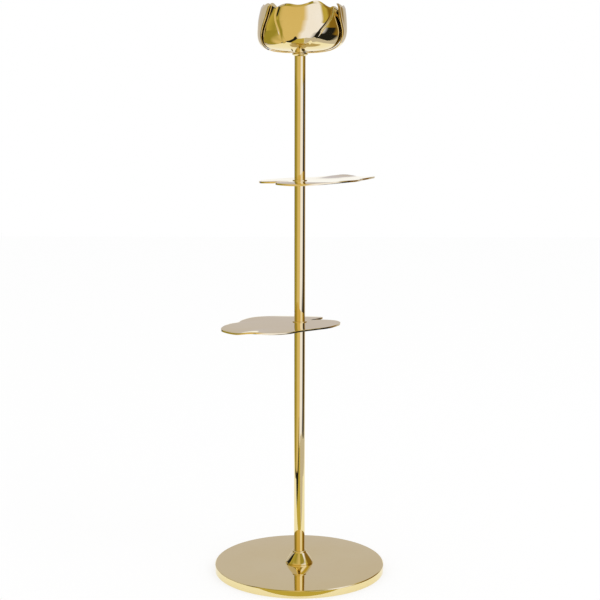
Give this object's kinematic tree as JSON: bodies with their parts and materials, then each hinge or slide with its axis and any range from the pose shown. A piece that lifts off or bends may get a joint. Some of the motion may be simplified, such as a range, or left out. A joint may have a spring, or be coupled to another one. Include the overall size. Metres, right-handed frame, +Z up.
{
  "type": "candle stand",
  "caption": "Polished brass candle stand: petalled flower cup with a candle socket on a slim stem with lily-pad leaves and a round disc base.",
  "frame": {"origin": "centre of the underside of the felt pad, where the stand meets the table", "axes": "+Z up the stem, -Y towards the front petal and the viewer, +X to the viewer's right"},
  "size_m": [0.15, 0.15, 0.4954],
  "materials": {
    "polished_brass": "mirror polished, clear lacquered",
    "felt": "pressed felt",
    "steel": "zinc plated"
  },
  "bodies": {
    "root": {"base_disc": "polished_brass", "base_felt": "felt", "rod_nut": "steel", "rod_washer": "steel", "tie_rod": "steel", "foot_ferrule": "polished_brass", "lower_tube": "polished_brass", "middle_tube": "polished_brass", "upper_tube": "polished_brass", "tube_bushes": "polished_brass", "lower_leaf": "polished_brass", "lower_leaf_washer": "polished_brass", "upper_leaf": "polished_brass", "upper_leaf_washer": "polished_brass", "flower_hub": "polished_brass", "petal_front": "polished_brass", "petal_right": "polished_brass", "petal_rear": "polished_brass", "petal_left": "polished_brass", "inner_petal_front_right": "polished_brass", "inner_petal_rear_right": "polished_brass", "inner_petal_rear_left": "polished_brass", "inner_petal_front_left": "polished_brass", "petal_clamp": "polished_brass", "candle_socket": "polished_brass", "socket_screw": "steel"}
  },
  "joints": []
}
